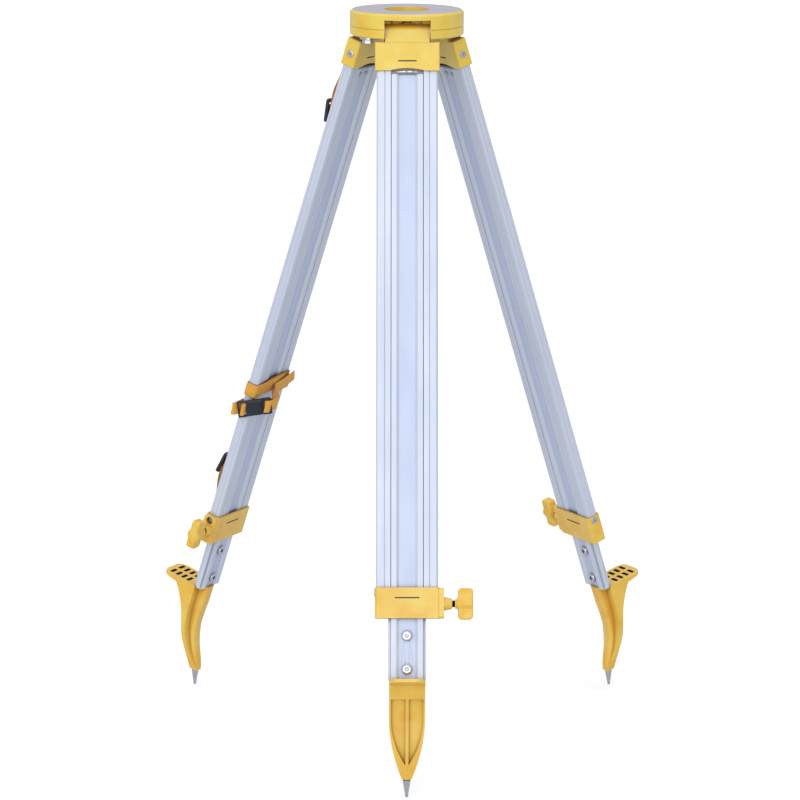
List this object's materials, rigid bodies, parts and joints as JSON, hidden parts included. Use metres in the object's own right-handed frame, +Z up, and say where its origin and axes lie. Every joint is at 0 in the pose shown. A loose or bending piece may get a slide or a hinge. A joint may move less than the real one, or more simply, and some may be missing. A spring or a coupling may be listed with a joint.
{
  "type": "surveyor tripod",
  "caption": "Spread tripod with telescoping flat legs, screw clamps, pointed tread shoes, round head with centring screw, and straps on one leg.",
  "frame": {"origin": "centre of the head's flat top face, on the axis of the centre hole", "axes": "+Z up, out of the top face; one leg points to -Y, the others to +X and -X behind it"},
  "size_m": [0.7096, 0.6369, 1.0372],
  "materials": {
    "yellow_casting": "cast aluminium, glossy yellow powder coat",
    "amber_casting": "cast aluminium, orange-yellow powder coat",
    "anodised_extrusion": "extruded aluminium, satin anodised",
    "zinc_steel": "zinc-plated steel",
    "point_steel": "turned steel",
    "black_steel": "black-oxide steel",
    "amber_plastic": "moulded plastic, orange-yellow",
    "black_plastic": "moulded plastic, black",
    "grey_plastic": "moulded plastic, grey",
    "brass": "turned brass",
    "webbing": "woven webbing, orange-yellow"
  },
  "bodies": {
    "head": {"head": "yellow_casting", "hinge_pins": "zinc_steel", "hinge_washers": "zinc_steel", "arm_bolt": "zinc_steel"},
    "centring_arm": {"centring_arm": "zinc_steel"},
    "screw_carrier": {"screw_carrier": "brass"},
    "lift_washer": {"thrust_washer": "zinc_steel"},
    "fixing_screw": {"fixing_screw": "brass", "fixing_knob": "black_plastic", "plumb_hook": "zinc_steel"},
    "upper_leg_front": {"hinge_block_front": "yellow_casting", "rail_near_front": "anodised_extrusion", "rail_far_front": "anodised_extrusion", "rail_screws_front": "zinc_steel", "clamp_collar_front": "amber_casting"},
    "lower_leg_front": {"lower_leg_front": "anodised_extrusion", "top_guide_front": "grey_plastic", "guide_screws_front": "zinc_steel", "leg_bolts_front": "zinc_steel", "shoe_front": "amber_casting", "steel_point_front": "point_steel"},
    "clamp_pad_front": {"pressure_pad_front": "brass"},
    "clamp_screw_front": {"clamp_screw_front": "black_steel", "clamp_knob_front": "amber_plastic"},
    "upper_leg_right": {"hinge_block_right": "yellow_casting", "rail_near_right": "anodised_extrusion", "rail_far_right": "anodised_extrusion", "rail_screws_right": "zinc_steel", "clamp_collar_right": "amber_casting"},
    "lower_leg_right": {"lower_leg_right": "anodised_extrusion", "top_guide_right": "grey_plastic", "guide_screws_right": "zinc_steel", "leg_bolts_right": "zinc_steel", "shoe_right": "amber_casting", "steel_point_right": "point_steel"},
    "clamp_pad_right": {"pressure_pad_right": "brass"},
    "clamp_screw_right": {"clamp_screw_right": "black_steel", "clamp_knob_right": "amber_plastic"},
    "upper_leg_left": {"hinge_block_left": "yellow_casting", "rail_near_left": "anodised_extrusion", "rail_far_left": "anodised_extrusion", "rail_screws_left": "zinc_steel", "clamp_collar_left": "amber_casting", "binding_strap": "webbing", "shoulder_strap": "webbing", "buckle_socket": "black_plastic", "buckle_plug": "black_plastic", "strap_sliders": "black_plastic", "strap_anchors": "black_plastic"},
    "lower_leg_left": {"lower_leg_left": "anodised_extrusion", "top_guide_left": "grey_plastic", "guide_screws_left": "zinc_steel", "leg_bolts_left": "zinc_steel", "shoe_left": "amber_casting", "steel_point_left": "point_steel"},
    "clamp_pad_left": {"pressure_pad_left": "brass"},
    "clamp_screw_left": {"clamp_screw_left": "black_steel", "clamp_knob_left": "amber_plastic"}
  },
  "joints": [
    {"name": "leg_hinge_front", "type": "hinge", "parent": "head", "child": "upper_leg_front", "pos_m": [0, -0.0536, -0.0265], "axis": [-1, 0, 0], "range_deg": [-18.5, 10]},
    {"name": "leg_slide_front", "type": "slide", "parent": "upper_leg_front", "child": "lower_leg_front", "axis": [0, -0.3173, -0.9483], "range_m": [0, 0.55]},
    {"name": "clamp_pad_front", "type": "slide", "parent": "upper_leg_front", "child": "clamp_pad_front", "axis": [1, 0, 0], "range_m": [0, 0.0015]},
    {"name": "clamp_turn_front", "type": "hinge", "parent": "clamp_pad_front", "child": "clamp_screw_front", "pos_m": [0.06, -0.30567, -0.77985], "axis": [1, 0, 0], "range_deg": [0, 360]},
    {"name": "leg_hinge_right", "type": "hinge", "parent": "head", "child": "upper_leg_right", "pos_m": [0.04642, 0.0268, -0.0265], "axis": [0.5, -0.866, 0], "range_deg": [-18.5, 10]},
    {"name": "leg_slide_right", "type": "slide", "parent": "upper_leg_right", "child": "lower_leg_right", "axis": [0.2748, 0.1587, -0.9483], "range_m": [0, 0.55]},
    {"name": "clamp_pad_right", "type": "slide", "parent": "upper_leg_right", "child": "clamp_pad_right", "axis": [-0.5, 0.866, 0], "range_m": [0, 0.0015]},
    {"name": "clamp_turn_right", "type": "hinge", "parent": "clamp_pad_right", "child": "clamp_screw_right", "pos_m": [0.23472, 0.2048, -0.77985], "axis": [-0.5, 0.866, 0], "range_deg": [0, 360]},
    {"name": "leg_hinge_left", "type": "hinge", "parent": "head", "child": "upper_leg_left", "pos_m": [-0.04642, 0.0268, -0.0265], "axis": [0.5, 0.866, 0], "range_deg": [-18.5, 10]},
    {"name": "leg_slide_left", "type": "slide", "parent": "upper_leg_left", "child": "lower_leg_left", "axis": [-0.2748, 0.1587, -0.9483], "range_m": [0, 0.55]},
    {"name": "clamp_pad_left", "type": "slide", "parent": "upper_leg_left", "child": "clamp_pad_left", "axis": [-0.5, -0.866, 0], "range_m": [0, 0.0015]},
    {"name": "clamp_turn_left", "type": "hinge", "parent": "clamp_pad_left", "child": "clamp_screw_left", "pos_m": [-0.29472, 0.10087, -0.77985], "axis": [-0.5, -0.866, 0], "range_deg": [0, 360]},
    {"name": "arm_swing", "type": "hinge", "parent": "head", "child": "centring_arm", "pos_m": [-0.05499, -0.03175, -0.0374], "axis": [0, 0, 1], "range_deg": [-14, 14]},
    {"name": "carrier_slide", "type": "slide", "parent": "centring_arm", "child": "screw_carrier", "axis": [0.866, 0.5, 0], "range_m": [-0.016, 0.016]},
    {"name": "screw_lift", "type": "slide", "parent": "screw_carrier", "child": "lift_washer", "axis": [0, 0, 1], "range_m": [0, 0.012]},
    {"name": "screw_turn", "type": "hinge", "parent": "lift_washer", "child": "fixing_screw", "pos_m": [0, 0, -0.03], "axis": [0, 0, 1], "continuous": true}
  ],
  "couplings": [
    {"joint": "clamp_turn_front", "follows": "clamp_pad_front", "rad_per_m": 4188.8},
    {"joint": "clamp_turn_right", "follows": "clamp_pad_right", "rad_per_m": 4188.8},
    {"joint": "clamp_turn_left", "follows": "clamp_pad_left", "rad_per_m": 4188.8}
  ]
}
